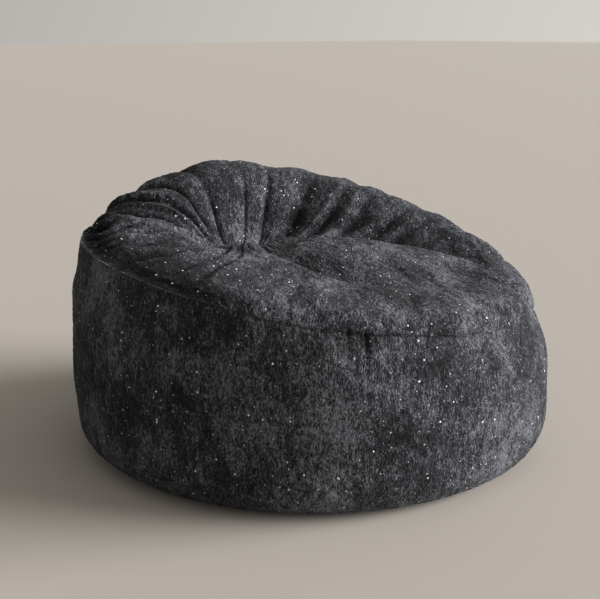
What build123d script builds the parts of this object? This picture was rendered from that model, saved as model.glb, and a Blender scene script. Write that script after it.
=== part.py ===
from build123d import *
import os
from collections import namedtuple
from math import asin, cos, hypot, radians, sin

# Bean bag chair in millimetres, +Z up, front at -Y, origin on the floor under the middle of the bag.
# A plush cover holds a thin liner, and the liner holds the foam. Both open at the base with a zipper.

# Radii of the outer skin: the wall at its fullest, how far the other rings tuck in from it, and the seat hollow
BAG_RADIUS = 490.0
FOOT_TUCK = 50.0
LOWER_WALL_TUCK = 10.0
UPPER_WALL_TUCK = 8.0
SEAM_TUCK = 28.0
SHOULDER_TUCK = 65.0
CREST_TUCK = 140.0
SEAT_EDGE_RADIUS = 235.0
SEAT_RADIUS = 140.0
PIT_RADIUS = 55.0

# Heights on the middle axis: the wall from the floor, and the top panel from the seam
LOWER_WALL_HEIGHT = 60.0
BULGE_HEIGHT = 165.0
UPPER_WALL_DROP = 60.0
SEAM_HEIGHT = 330.0
SHOULDER_RISE = 75.0
CREST_RISE = 120.0
SEAT_EDGE_RISE = 102.0
SEAT_RISE = 66.0
PIT_RISE = 52.0

# Degrees that each ring tips up towards the back
BULGE_TILT = 1.5
UPPER_WALL_TILT = 4.5
SEAM_TILT = 7.0
SHOULDER_TILT = 11.0
CREST_TILT = 15.0
SEAT_EDGE_TILT = 13.0
SEAT_TILT = 7.0
PIT_TILT = 8.0

# Gathered folds of the top panel: how many, their depth at each ring, their uneven spacing, and the front's share
FOLD_COUNT = 16
SHOULDER_FOLD = 8.0
CREST_FOLD = 16.0
SEAT_EDGE_FOLD = 16.0
SEAT_FOLD = 9.0
PIT_FOLD = 2.0
FOLD_DRIFT = 0.22
FOLD_DRIFT_STEP = 2.4
FRONT_FOLD_SHARE = 0.35
SMOOTH_ARCS = 4
SPAN_STEPS = 3

# Cloth and the play between its layers
COVER_THICKNESS = 7.0
LINER_THICKNESS = 1.5
BASE_THICKNESS = 3.0
LAYER_PLAY = 0.5
OPEN_END = 1.0

# Raised strip across the base that keeps each zipper off the floor and off the layer below
VALLEY_RISE = 8.0
VALLEY_SHELF = 30.0
VALLEY_RAMP = 30.0
LINER_VALLEY_RAMP = 42.0
FILL_VALLEY_RAMP = 46.0
LAYER_ZIP_PLAY = 4.0
FILL_ZIP_PLAY = 1.0

# Zippers
COVER_ZIP_MARGIN = 92.0
LINER_ZIP_MARGIN = 170.0
SLOT_HALF_WIDTH = 12.0
SLOT_END_PLAY = 2.0
TAPE_WIDTH = 20.0
TAPE_THICKNESS = 1.0
TAPE_TAIL = 12.0
CHAIN_HALF_WIDTH = 4.0
TOOTH_PITCH = 4.0
TOOTH_LENGTH = 1.6
TOOTH_REACH = 1.0
SPINE_INNER = 1.2
TEETH_PROUD = 1.0
TOP_STOP_LENGTH = 3.0
BOTTOM_STOP_LENGTH = 6.0
STOP_PLAY = 1.0

# Slider, its two plates and the pull that hangs under it
SLIDER_LENGTH = 22.0
SLIDER_REAR_HALF = 6.6
SLIDER_FRONT_HALF = 8.2
SLIDER_CORNER = 1.6
FLANGE_WIDTH = 1.5
PLATE_THICKNESS = 1.7
CHAIN_PLAY = 0.3
TAPE_PLAY = 0.4
POST_LENGTH = 5.0
POST_WIDTH = 4.0
POST_SETBACK = 1.5
LUG_RADIUS = 2.0
LUG_INNER = 3.2
LUG_THICKNESS = 1.4
PIN_RADIUS = 1.0
PIN_DROP = 2.3
PIN_PLAY = 0.06
PULL_WIDTH = 6.0
PULL_LENGTH = 32.0
PULL_THICKNESS = 1.8
PULL_FLOOR_PLAY = 0.3

# Named rings of the outer skin, from the floor up the wall, over the crest and down into the seat
Ring = namedtuple("Ring", "radius height tilt fold")
FOOT_RADIUS = BAG_RADIUS - FOOT_TUCK
CREST_RADIUS = BAG_RADIUS - CREST_TUCK
UPPER_WALL_HEIGHT = SEAM_HEIGHT - UPPER_WALL_DROP
SEAM = Ring(BAG_RADIUS - SEAM_TUCK, SEAM_HEIGHT, SEAM_TILT, 0)
NAMED_RINGS = [
    Ring(FOOT_RADIUS, 0, 0, 0),
    Ring(BAG_RADIUS - LOWER_WALL_TUCK, LOWER_WALL_HEIGHT, 0, 0),
    Ring(BAG_RADIUS, BULGE_HEIGHT, BULGE_TILT, 0),
    Ring(BAG_RADIUS - UPPER_WALL_TUCK, UPPER_WALL_HEIGHT, UPPER_WALL_TILT, 0),
    SEAM,
    Ring(BAG_RADIUS - SHOULDER_TUCK, SEAM_HEIGHT + SHOULDER_RISE, SHOULDER_TILT, SHOULDER_FOLD),
    Ring(CREST_RADIUS, SEAM_HEIGHT + CREST_RISE, CREST_TILT, CREST_FOLD),
    Ring(SEAT_EDGE_RADIUS, SEAM_HEIGHT + SEAT_EDGE_RISE, SEAT_EDGE_TILT, SEAT_EDGE_FOLD),
    Ring(SEAT_RADIUS, SEAM_HEIGHT + SEAT_RISE, SEAT_TILT, SEAT_FOLD),
    Ring(PIT_RADIUS, SEAM_HEIGHT + PIT_RISE, PIT_TILT, PIT_FOLD),
]

# How far each layer's outer face lies inside the outer skin
LINER_INSET = COVER_THICKNESS + LAYER_PLAY
FILL_INSET = LINER_INSET + LINER_THICKNESS + LAYER_PLAY
COVER_BASE_RADIUS = FOOT_RADIUS - LINER_INSET
LINER_BASE_RADIUS = FOOT_RADIUS - FILL_INSET

# Heights on a zipper, from the face that its tapes lie on
TEETH_BOTTOM = -TEETH_PROUD
TEETH_TOP = TAPE_THICKNESS + TEETH_PROUD
CHANNEL_BOTTOM = TEETH_BOTTOM - CHAIN_PLAY
CHANNEL_TOP = TEETH_TOP + CHAIN_PLAY
SLIDER_BOTTOM = CHANNEL_BOTTOM - PLATE_THICKNESS
SLIDER_TOP = CHANNEL_TOP + PLATE_THICKNESS
PIN_HEIGHT = SLIDER_BOTTOM - PIN_DROP

# Undersides of the base layers: the flat, the raised strip, and the half widths where its ramps start and end
Valley = namedtuple("Valley", "flat top shelf foot")
COVER_VALLEY = Valley(0, VALLEY_RISE, VALLEY_SHELF, VALLEY_SHELF + VALLEY_RAMP)
COVER_ZIP_LEVEL = COVER_VALLEY.top + BASE_THICKNESS
LINER_FLAT = BASE_THICKNESS + LAYER_PLAY
LINER_VALLEY_TOP = COVER_ZIP_LEVEL + SLIDER_TOP + LAYER_ZIP_PLAY
LINER_VALLEY = Valley(LINER_FLAT, LINER_VALLEY_TOP, VALLEY_SHELF, VALLEY_SHELF + LINER_VALLEY_RAMP)
LINER_ZIP_LEVEL = LINER_VALLEY.top + LINER_THICKNESS
FILL_FLAT = LINER_FLAT + LINER_THICKNESS + LAYER_PLAY
FILL_VALLEY_TOP = LINER_ZIP_LEVEL + SLIDER_TOP + FILL_ZIP_PLAY
FILL_VALLEY = Valley(FILL_FLAT, FILL_VALLEY_TOP, VALLEY_SHELF, VALLEY_SHELF + FILL_VALLEY_RAMP)

# Half lengths of the two zippers, between the outer ends of their stops
COVER_ZIP_HALF = COVER_BASE_RADIUS - COVER_ZIP_MARGIN
LINER_ZIP_HALF = LINER_BASE_RADIUS - LINER_ZIP_MARGIN


def ring_plane(ring, lift=0):
    """Plane of a ring, tipped up towards the back and moved along its own normal."""
    tilt = radians(ring.tilt)
    normal = Vector(0, -sin(tilt), cos(tilt))
    return Plane(origin=Vector(0, 0, ring.height) + normal * lift, x_dir=(1, 0, 0), z_dir=normal)


def ring_between(span, share):
    """Ring part of the way along a span between two named rings, on a smooth curve through all of them."""
    last = len(NAMED_RINGS) - 1
    near = [NAMED_RINGS[max(0, min(last, span + step))] for step in (-1, 0, 1, 2)]
    sizes = [
        b + 0.5 * share * (c - a + share * (2 * a - 5 * b + 4 * c - d + share * (3 * (b - c) + d - a)))
        for a, b, c, d in zip(*near)
    ]
    return Ring(*sizes[:3], max(0, sizes[3]))


SPANS = range(len(NAMED_RINGS) - 1)
RINGS = [ring_between(span, step / SPAN_STEPS) for span in SPANS for step in range(SPAN_STEPS)]
RINGS.append(NAMED_RINGS[-1])


def skin_normal(index):
    """Outward and upward parts of the skin's normal at a ring, from the rings beside it."""
    before, after = RINGS[max(index - 1, 0)], RINGS[min(index + 1, len(RINGS) - 1)]
    run, rise = after.radius - before.radius, after.height - before.height
    return rise / hypot(run, rise), -run / hypot(run, rise)


def fold_angle(index):
    """Degrees round the bag to a crease, unevenly spaced as gathers are."""
    turn, place = divmod(index, FOLD_COUNT)
    return 360 * turn + 360 / FOLD_COUNT * (place + FOLD_DRIFT * sin(FOLD_DRIFT_STEP * place))


def ring_point(radius, fold, angle):
    """Point on a ring at an angle, drawn in by a fold that is deepest at the back."""
    backness = (1 + sin(radians(angle))) / 2
    reach = radius - fold * (FRONT_FOLD_SHARE + (1 - FRONT_FOLD_SHARE) * backness)
    return reach * cos(radians(angle)), reach * sin(radians(angle))


def folded_skin():
    """The outer skin's solid, gathered into folds above the seam."""
    with BuildPart() as body:
        for ring in reversed(RINGS):
            with BuildSketch(ring_plane(ring)):
                with BuildLine():
                    for crease in range(FOLD_COUNT):
                        start, end = fold_angle(crease), fold_angle(crease + 1)
                        ThreePointArc(
                            ring_point(ring.radius, ring.fold, start),
                            ring_point(ring.radius, 0, (start + end) / 2),
                            ring_point(ring.radius, ring.fold, end),
                        )
                make_face()
        loft()
    return body.part


def smooth_bag(inset, floor):
    """Solid of a layer that lies a given depth under the creases, with its flat bottom at the floor height."""
    with BuildPart() as body:
        for index, ring in reversed(list(enumerate(RINGS))):
            outward, upward = skin_normal(index)
            depth = inset + ring.fold * max(0, outward)
            plane = ring_plane(ring, -upward * depth)
            radius = ring.radius - outward * depth
            if index == 0:
                plane, radius = Plane.XY.offset(floor), ring.radius - inset
            with BuildSketch(plane):
                with BuildLine():
                    for arc in range(SMOOTH_ARCS):
                        CenterArc((0, 0), radius, arc * 360 / SMOOTH_ARCS, 360 / SMOOTH_ARCS)
                make_face()
        loft()
    return body.part


def valley_line(valley, reach, rise=0):
    """Points across the bag, front to back, along the underside of a base layer."""
    half = [(reach, valley.flat), (valley.foot, valley.flat), (valley.shelf, valley.top)]
    points = [(-y, z) for y, z in half] + [(y, z) for y, z in reversed(half)]
    return [(y, z + rise) for y, z in points]


def under_valley(valley):
    """Block that takes away all of a layer below its base."""
    low = -BAG_RADIUS
    with BuildPart() as block:
        with BuildSketch(Plane.YZ):
            with BuildLine():
                Polyline((-BAG_RADIUS, low), *valley_line(valley, BAG_RADIUS), (BAG_RADIUS, low), close=True)
            make_face()
        extrude(amount=BAG_RADIUS, both=True)
    return block.part


def base_disc(valley, thickness, radius):
    """Round base with its raised strip, before it is cut for the zipper."""
    with BuildPart() as disc:
        with BuildSketch(Plane.YZ):
            with BuildLine():
                under = valley_line(valley, radius)
                over = valley_line(valley, radius, thickness)
                Polyline(*under, *reversed(over), close=True)
            make_face()
        extrude(amount=radius, both=True)
        with BuildSketch():
            Circle(radius)
        extrude(amount=valley.top + thickness, mode=Mode.INTERSECT)
    return disc.part


def slot_edge(side):
    """Upright plane along one edge of the slot that a zipper lies in, facing the front."""
    return Plane.XZ.offset(-side * SLOT_HALF_WIDTH)


def zip_tab(base, zip_half, side):
    """Tab of base cloth that closes the slot from one end of a zipper out to the rim."""
    with BuildPart() as tab:
        add(base)
        with BuildSketch():
            with Locations((side * (zip_half + SLOT_END_PLAY + BAG_RADIUS / 2), 0)):
                Rectangle(BAG_RADIUS, 2 * SLOT_HALF_WIDTH)
        extrude(amount=BAG_RADIUS, mode=Mode.INTERSECT)
    return tab.part


def slider_x(zip_half):
    """Middle of a slider at its closed end, where it meets the top stops."""
    return zip_half - TOP_STOP_LENGTH - STOP_PLAY - SLIDER_LENGTH / 2


def zip_tape(zip_half, level, side):
    """Woven tape beside the chain, sewn on the inner face of the base."""
    with BuildPart() as tape:
        with BuildSketch(Plane.XY.offset(level)):
            with Locations((0, side * (CHAIN_HALF_WIDTH + TAPE_WIDTH / 2))):
                Rectangle(2 * (zip_half + TAPE_TAIL), TAPE_WIDTH)
        extrude(amount=TAPE_THICKNESS)
    return tape.part


def zip_teeth(zip_half, level, side):
    """One row of moulded teeth on its spine, meshed with the other row half a pitch away."""
    first = -zip_half + BOTTOM_STOP_LENGTH + STOP_PLAY
    post_end = slider_x(zip_half) + SLIDER_LENGTH / 2 - POST_SETBACK - POST_LENGTH
    stagger = TOOTH_PITCH / 2 if side > 0 else 0
    count = int((post_end - first - TOOTH_PITCH) / TOOTH_PITCH)
    tip, root, back = -side * TOOTH_REACH, side * SPINE_INNER, side * CHAIN_HALF_WIDTH
    outline = [(first, back), (first, root)]
    for tooth in range(count):
        start = first + TOOTH_PITCH / 4 + stagger + tooth * TOOTH_PITCH
        end = start + TOOTH_LENGTH
        outline += [(start, root), (start, tip), (end, tip), (end, root)]
    last = first + (count + 1) * TOOTH_PITCH
    outline += [(last, root), (last, back)]
    with BuildPart() as teeth:
        with BuildSketch(Plane.XY.offset(level + TEETH_BOTTOM)):
            with BuildLine():
                Polyline(*outline, close=True)
            make_face()
        extrude(amount=TEETH_TOP - TEETH_BOTTOM)
    return teeth.part


def zip_top_stops(zip_half, level):
    """Pair of crimped stops, one on each tape's edge."""
    width = CHAIN_HALF_WIDTH - SPINE_INNER
    with BuildPart() as stops:
        with BuildSketch(Plane.XY.offset(level + TEETH_BOTTOM)):
            with GridLocations(0, CHAIN_HALF_WIDTH + SPINE_INNER, 1, 2):
                with Locations((zip_half - TOP_STOP_LENGTH / 2, 0)):
                    Rectangle(TOP_STOP_LENGTH, width)
        extrude(amount=TEETH_TOP - TEETH_BOTTOM)
    return stops.part


def zip_bottom_stop(zip_half, level):
    """Block that holds both tapes together at the end where the chain starts."""
    with BuildPart() as stop:
        with BuildSketch(Plane.XY.offset(level + TEETH_BOTTOM)):
            with Locations((-zip_half + BOTTOM_STOP_LENGTH / 2, 0)):
                Rectangle(BOTTOM_STOP_LENGTH, 2 * CHAIN_HALF_WIDTH)
        extrude(amount=TEETH_TOP - TEETH_BOTTOM)
    return stop.part


def slider_outline(rear_half, front_half):
    """Corners of the slider seen from above, narrow where the closed chain leaves it."""
    half = SLIDER_LENGTH / 2
    return [(-half, -rear_half), (half, -front_half), (half, front_half), (-half, rear_half)]


def zip_slider(zip_half, level):
    """Two plates joined by a post, with flanges that ride on the tapes and leave the chain its channel."""
    x = slider_x(zip_half)
    post_x = x + SLIDER_LENGTH / 2 - POST_SETBACK - POST_LENGTH / 2
    with BuildPart() as slider:
        with BuildSketch(Plane((x, 0, level + SLIDER_BOTTOM))):
            with BuildLine():
                Polyline(*slider_outline(SLIDER_REAR_HALF, SLIDER_FRONT_HALF), close=True)
            make_face()
            fillet(vertices(), SLIDER_CORNER)
        extrude(amount=SLIDER_TOP - SLIDER_BOTTOM)
        with BuildSketch(Plane((x, 0, level + CHANNEL_BOTTOM))):
            with BuildLine():
                channel_rear = SLIDER_REAR_HALF - FLANGE_WIDTH
                channel_front = SLIDER_FRONT_HALF - FLANGE_WIDTH
                Polyline(*slider_outline(channel_rear, channel_front), close=True)
            make_face()
        extrude(amount=CHANNEL_TOP - CHANNEL_BOTTOM, mode=Mode.SUBTRACT)
        with BuildSketch(Plane((x, 0, level - TAPE_PLAY))):
            Rectangle(2 * SLIDER_LENGTH, 2 * (CHAIN_HALF_WIDTH + TAPE_WIDTH))
        extrude(amount=TAPE_THICKNESS + 2 * TAPE_PLAY, mode=Mode.SUBTRACT)
        with BuildSketch(Plane((post_x, 0, level + CHANNEL_BOTTOM))):
            with BuildLine():
                half_long, half_wide = POST_LENGTH / 2, POST_WIDTH / 2
                Polyline((-half_long, 0), (0, -half_wide), (half_long, 0), (0, half_wide), close=True)
            make_face()
        extrude(amount=CHANNEL_TOP - CHANNEL_BOTTOM)
    return slider.part


def pin_plane(offset=0):
    """Upright plane along the cover's zipper with its origin on the pull's pin, facing the front."""
    pin = (slider_x(COVER_ZIP_HALF), -offset, COVER_ZIP_LEVEL + PIN_HEIGHT)
    return Plane(pin, x_dir=(1, 0, 0), z_dir=(0, -1, 0))


# Outer cover: gathered top panel and side band, sewn together at the seam
with BuildPart() as cover_shell:
    add(folded_skin())
    add(smooth_bag(COVER_THICKNESS, -OPEN_END), mode=Mode.SUBTRACT)

with BuildPart() as cover_top_panel:
    add(cover_shell.part)
    split(bisect_by=ring_plane(SEAM), keep=Keep.TOP)

with BuildPart() as cover_side_band:
    add(cover_shell.part)
    split(bisect_by=ring_plane(SEAM), keep=Keep.BOTTOM)

# Cover's base: two parts of a disc with the zipper between them, and a tab at each end of the zipper
cover_base = base_disc(COVER_VALLEY, BASE_THICKNESS, COVER_BASE_RADIUS)

with BuildPart() as cover_base_front:
    add(cover_base)
    split(bisect_by=slot_edge(-1), keep=Keep.TOP)

with BuildPart() as cover_base_rear:
    add(cover_base)
    split(bisect_by=slot_edge(1), keep=Keep.BOTTOM)

with BuildPart() as cover_zip_tab_left:
    add(zip_tab(cover_base, COVER_ZIP_HALF, -1))

with BuildPart() as cover_zip_tab_right:
    add(zip_tab(cover_base, COVER_ZIP_HALF, 1))

# Cover's zipper
with BuildPart() as cover_zip_tape_front:
    add(zip_tape(COVER_ZIP_HALF, COVER_ZIP_LEVEL, -1))

with BuildPart() as cover_zip_tape_rear:
    add(zip_tape(COVER_ZIP_HALF, COVER_ZIP_LEVEL, 1))

with BuildPart() as cover_zip_teeth_front:
    add(zip_teeth(COVER_ZIP_HALF, COVER_ZIP_LEVEL, -1))

with BuildPart() as cover_zip_teeth_rear:
    add(zip_teeth(COVER_ZIP_HALF, COVER_ZIP_LEVEL, 1))

with BuildPart() as cover_zip_top_stops:
    add(zip_top_stops(COVER_ZIP_HALF, COVER_ZIP_LEVEL))

with BuildPart() as cover_zip_bottom_stop:
    add(zip_bottom_stop(COVER_ZIP_HALF, COVER_ZIP_LEVEL))

# Slider with two lugs and the pin that the pull turns on
with BuildPart() as cover_zip_slider:
    add(zip_slider(COVER_ZIP_HALF, COVER_ZIP_LEVEL))
    for lug_start in (LUG_INNER, -LUG_INNER - LUG_THICKNESS):
        with BuildSketch(pin_plane(lug_start)):
            Circle(LUG_RADIUS)
            with Locations((0, PIN_DROP / 2)):
                Rectangle(2 * LUG_RADIUS, PIN_DROP)
        extrude(amount=LUG_THICKNESS)
    with BuildSketch(pin_plane()):
        Circle(PIN_RADIUS)
    extrude(amount=LUG_INNER, both=True)

# Pull, hanging from the pin until its tip lies on the floor
pull_drop = COVER_ZIP_LEVEL + PIN_HEIGHT - PULL_THICKNESS / 2 - PULL_FLOOR_PLAY
pull_droop = asin(pull_drop / PULL_LENGTH)
pull_along = Vector(cos(pull_droop), 0, sin(pull_droop))
pull_face = Vector(-sin(pull_droop), 0, cos(pull_droop))

with BuildPart() as cover_zip_pull:
    with BuildSketch(pin_plane()):
        Circle(LUG_RADIUS)
    extrude(amount=PULL_WIDTH / 2, both=True)
    with BuildSketch(Plane(pin_plane().origin, x_dir=pull_along, z_dir=pull_face)):
        with BuildLine():
            half_width = PULL_WIDTH / 2
            straight = PULL_LENGTH - half_width
            Line((0, half_width), (0, -half_width))
            Line((0, -half_width), (-straight, -half_width))
            ThreePointArc((-straight, -half_width), (-PULL_LENGTH, 0), (-straight, half_width))
            Line((-straight, half_width), (0, half_width))
        make_face()
    extrude(amount=PULL_THICKNESS / 2, both=True)
    with BuildSketch(pin_plane()):
        Circle(PIN_RADIUS + PIN_PLAY)
    extrude(amount=PULL_WIDTH, both=True, mode=Mode.SUBTRACT)

# Inner liner: the same panels in thin cloth, inside the cover
with BuildPart() as liner_shell:
    add(smooth_bag(LINER_INSET, 0))
    add(smooth_bag(LINER_INSET + LINER_THICKNESS, -OPEN_END), mode=Mode.SUBTRACT)

with BuildPart() as liner_top_panel:
    add(liner_shell.part)
    split(bisect_by=ring_plane(SEAM), keep=Keep.TOP)

with BuildPart() as liner_side_band:
    add(liner_shell.part)
    split(bisect_by=ring_plane(SEAM), keep=Keep.BOTTOM)
    add(under_valley(LINER_VALLEY), mode=Mode.SUBTRACT)

liner_base = base_disc(LINER_VALLEY, LINER_THICKNESS, LINER_BASE_RADIUS)

with BuildPart() as liner_base_front:
    add(liner_base)
    split(bisect_by=slot_edge(-1), keep=Keep.TOP)

with BuildPart() as liner_base_rear:
    add(liner_base)
    split(bisect_by=slot_edge(1), keep=Keep.BOTTOM)

with BuildPart() as liner_zip_tab_left:
    add(zip_tab(liner_base, LINER_ZIP_HALF, -1))

with BuildPart() as liner_zip_tab_right:
    add(zip_tab(liner_base, LINER_ZIP_HALF, 1))

# Liner's zipper, whose slider has no pull so that a child can't open it
with BuildPart() as liner_zip_tape_front:
    add(zip_tape(LINER_ZIP_HALF, LINER_ZIP_LEVEL, -1))

with BuildPart() as liner_zip_tape_rear:
    add(zip_tape(LINER_ZIP_HALF, LINER_ZIP_LEVEL, 1))

with BuildPart() as liner_zip_teeth_front:
    add(zip_teeth(LINER_ZIP_HALF, LINER_ZIP_LEVEL, -1))

with BuildPart() as liner_zip_teeth_rear:
    add(zip_teeth(LINER_ZIP_HALF, LINER_ZIP_LEVEL, 1))

with BuildPart() as liner_zip_top_stops:
    add(zip_top_stops(LINER_ZIP_HALF, LINER_ZIP_LEVEL))

with BuildPart() as liner_zip_bottom_stop:
    add(zip_bottom_stop(LINER_ZIP_HALF, LINER_ZIP_LEVEL))

with BuildPart() as liner_zip_slider:
    add(zip_slider(LINER_ZIP_HALF, LINER_ZIP_LEVEL))

# Foam that fills the liner, hollowed under to clear the liner's zipper
with BuildPart() as foam_fill:
    add(smooth_bag(FILL_INSET, 0))
    add(under_valley(FILL_VALLEY), mode=Mode.SUBTRACT)

PIECES = {
    "cover_top_panel": cover_top_panel,
    "cover_side_band": cover_side_band,
    "cover_base_front": cover_base_front,
    "cover_base_rear": cover_base_rear,
    "cover_zip_tab_left": cover_zip_tab_left,
    "cover_zip_tab_right": cover_zip_tab_right,
    "cover_zip_tape_front": cover_zip_tape_front,
    "cover_zip_tape_rear": cover_zip_tape_rear,
    "cover_zip_teeth_front": cover_zip_teeth_front,
    "cover_zip_teeth_rear": cover_zip_teeth_rear,
    "cover_zip_top_stops": cover_zip_top_stops,
    "cover_zip_bottom_stop": cover_zip_bottom_stop,
    "cover_zip_slider": cover_zip_slider,
    "cover_zip_pull": cover_zip_pull,
    "liner_top_panel": liner_top_panel,
    "liner_side_band": liner_side_band,
    "liner_base_front": liner_base_front,
    "liner_base_rear": liner_base_rear,
    "liner_zip_tab_left": liner_zip_tab_left,
    "liner_zip_tab_right": liner_zip_tab_right,
    "liner_zip_tape_front": liner_zip_tape_front,
    "liner_zip_tape_rear": liner_zip_tape_rear,
    "liner_zip_teeth_front": liner_zip_teeth_front,
    "liner_zip_teeth_rear": liner_zip_teeth_rear,
    "liner_zip_top_stops": liner_zip_top_stops,
    "liner_zip_bottom_stop": liner_zip_bottom_stop,
    "liner_zip_slider": liner_zip_slider,
    "foam_fill": foam_fill,
}

os.makedirs("parts", exist_ok=True)
for name, piece in PIECES.items():
    piece.part.label = name
    export_step(piece.part, f"parts/{name}.step")
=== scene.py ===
import random
from bisect import bisect_right
from math import atan2, cos, exp, pi, radians, sin, tau

import bmesh
import bpy
from mathutils import Matrix, Vector, noise


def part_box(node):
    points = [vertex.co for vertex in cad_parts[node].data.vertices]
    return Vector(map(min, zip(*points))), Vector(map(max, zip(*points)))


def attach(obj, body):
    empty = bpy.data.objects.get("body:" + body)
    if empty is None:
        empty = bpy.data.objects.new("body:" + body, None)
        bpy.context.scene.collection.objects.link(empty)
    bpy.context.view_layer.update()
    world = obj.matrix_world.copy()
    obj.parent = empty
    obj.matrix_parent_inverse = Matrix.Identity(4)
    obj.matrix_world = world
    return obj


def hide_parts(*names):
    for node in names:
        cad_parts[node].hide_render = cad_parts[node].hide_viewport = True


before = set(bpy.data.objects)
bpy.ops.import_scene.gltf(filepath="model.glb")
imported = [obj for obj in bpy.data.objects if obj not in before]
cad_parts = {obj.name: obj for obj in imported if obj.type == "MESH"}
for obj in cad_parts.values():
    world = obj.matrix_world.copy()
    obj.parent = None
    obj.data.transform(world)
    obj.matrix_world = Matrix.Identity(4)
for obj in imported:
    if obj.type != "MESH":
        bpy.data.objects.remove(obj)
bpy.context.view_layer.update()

# Skin of the filled bag: the form that the plush cover takes over its foam, before it is cut in two panels.
# It goes ring by ring from under the foot up the wall, over the crest and down to a pit in the seat.
# The foam then presses it out in a cloth simulation, and each layer of the bag is taken from the result.
RING_POINTS = 384
HEM_RINGS = 3
WALL_RINGS = 36
SHOULDER_RINGS = 24
SEAT_RINGS = 40
SEAM_RING = HEM_RINGS + WALL_RINGS
LAST_RING = SEAM_RING + SHOULDER_RINGS + SEAT_RINGS - 1

FIRST_BEARING = radians(-175)
LEFT_BEARING = radians(140)
HEM_RADIUS = 0.400
HEM_LIFT = 0.002
FOOT_RADIUS = (0.421, 0.004)
WALL_LOW_RADIUS = (0.4775, 0.0035)
WALL_LOW_HEIGHT = 0.06
BELLY_RADIUS = (0.479, 0.0075)
BELLY_HEIGHT = 0.17
SEAM_RADIUS = (0.459, 0.012)
SHOULDER_BULGE = 0.004
FLAT_RISE = 0.04

# Eight bearings round the bag, from front left by way of the front, right, back and left
SEAM_HEIGHTS = (0.408, 0.343, 0.300, 0.277, 0.287, 0.332, 0.392, 0.424)
CREST_HEIGHTS = (0.418, 0.382, 0.350, 0.344, 0.412, 0.490, 0.524, 0.442)
CREST_RADII = (0.335, 0.320, 0.330, 0.345, 0.365, 0.365, 0.350, 0.350)
SEAT_HEIGHTS = (0.402, 0.404, 0.402, 0.404, 0.374, 0.364, 0.378, 0.388)
PIT_EDGES = (0.72, 0.80, 0.86, 0.84, 0.60, 0.48, 0.50, 0.60)
GATHER = (1.55, -1.50, 0.03, 0.12, 0.80, 0.84, 1.05, 2.10)
PIT = Vector((-0.075, 0.100, 0.326))
SEAT_SHARE = 0.62
PIT_CROWDING = 1.05

# Valleys on both sides of the seat: at shares of the way from crest to pit, the bearing and the depth
VALLEY_SHARES = (0.0, 0.15, 0.32, 0.60, 0.85, 1.0)
RIGHT_VALLEY = ((-29, 0.004), (-18, 0.020), (-10, 0.046), (-12, 0.056), (-17, 0.034), (-17, 0.0))
LEFT_VALLEY = ((-100, 0.000), (-108, 0.008), (-118, 0.019), (-130, 0.018), (-125, 0.006), (-120, 0.0))
STEEP_SIDE = radians(10)
GENTLE_SIDE = radians(19)

# Folds: tables for the same eight bearings, angles in radians, and scales round the bag and along a fold
FOLD_SEED = 11
FOLD_WIDTHS = (0.15, 0.30, 0.50, 0.40, 0.25, 0.30, 0.26, 0.15)
WIDTH_RANGE = (0.72, 1.28)
HEIGHT_RANGE = (0.7, 1.25)
FOLD_DEPTH = 0.24
FOLD_MEAN = 0.6
FOLD_SKEW = 0.8
FULL_DEPTH_SHARE = 0.35
FULL_SWELL_SHARE = 0.9
CREASE_SOFTNESS = (0.7, 1.0, 1.2, 1.3, 1.4, 1.4, 1.2, 0.75)
CREST_CALM = (0.05, 0.20, 0.60, 0.65, 0.72, 0.80, 0.75, 0.30)
CREST_REACH = 0.32
SWAY = 0.14
SWAY_SCALE = (2.2, 1.4)
CRINKLE = 0.18
CRINKLE_MEAN = 0.3
CRINKLE_SCALE = (15, 0.9)
RIDGE_LIGHT_SHARE = 0.3
LUMP_SIZE = 0.11
LUMP_HEIGHT = 0.005
LUMP_FROM = 0.3


def smooth(value):
    value = max(0.0, min(1.0, value))
    return value * value * (3 - 2 * value)


def between(low, high, share):
    return low + (high - low) * share


def bell(off, width):
    """1 in the middle, and less with the distance off it."""
    return exp(-((off / width) ** 2))


def half_turn(angle):
    """The same angle, within half a turn either way."""
    return (angle + pi) % tau - pi


def around(values, bearing):
    """Smooth closed curve through values set at equal steps round the bag."""
    count = len(values)
    place = (bearing - FIRST_BEARING) / tau * count
    first = int(place // 1)
    share = place - first
    a, b, c, d = (values[(first + step) % count] for step in (-1, 0, 1, 2))
    return b + 0.5 * share * (c - a + share * (2 * a - 5 * b + 4 * c - d + share * (3 * (b - c) + d - a)))


def lean(size, bearing):
    """A size that is larger on the left than on the right."""
    middle, swing = size
    return middle + swing * cos(bearing - LEFT_BEARING)


def gather(bearing):
    """Strength of the folds; a value below 0 in its table only ends them sooner."""
    return max(0.0, around(GATHER, bearing))


def seam_height(bearing):
    return around(SEAM_HEIGHTS, bearing)


def on_bearing(bearing, radius, height):
    return Vector((radius * cos(bearing), radius * sin(bearing), height))


def noise_round(bearing, along, scale):
    """Smooth noise that joins up with itself round the bag."""
    round_scale, along_scale = scale
    return noise.noise(on_bearing(bearing, round_scale, along_scale * along))


def hem_point(bearing, share):
    """Point on the hem that turns under the foot, from its edge at 0 to the foot at 1."""
    radius = between(HEM_RADIUS, lean(FOOT_RADIUS, bearing), share)
    return on_bearing(bearing, radius, HEM_LIFT * (1 - share))


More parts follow.
